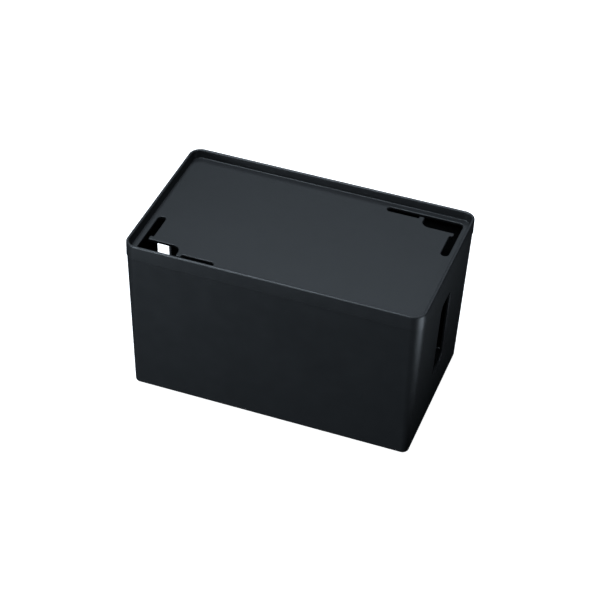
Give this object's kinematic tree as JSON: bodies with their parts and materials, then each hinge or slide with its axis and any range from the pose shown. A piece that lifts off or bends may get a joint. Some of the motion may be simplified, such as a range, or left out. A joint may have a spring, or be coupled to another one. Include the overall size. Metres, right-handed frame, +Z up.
{
  "type": "cable storage box",
  "caption": "Rectangular cable storage box with drafted walls, tall rounded end slots, and a loose tray lid with L-shaped corner cable outlets.",
  "frame": {"origin": "middle of the footprint, on the surface that the feet stand on", "axes": "+X along the box's length, -Y towards its front, +Z up"},
  "size_m": [0.25, 0.149, 0.146],
  "materials": {
    "bin_plastic": "fine matte texture, black",
    "lid_plastic": "fine matte texture, black",
    "foot_rubber": "matte black rubber"
  },
  "bodies": {
    "bin": {"bin": "bin_plastic", "foot_front_left": "foot_rubber", "foot_front_right": "foot_rubber", "foot_rear_left": "foot_rubber", "foot_rear_right": "foot_rubber"},
    "lid": {"lid": "lid_plastic"}
  },
  "joints": [
    {"name": "lid_lift", "type": "slide", "parent": "bin", "child": "lid", "axis": [0, 0, 1], "range_m": [0, 0.08]}
  ]
}
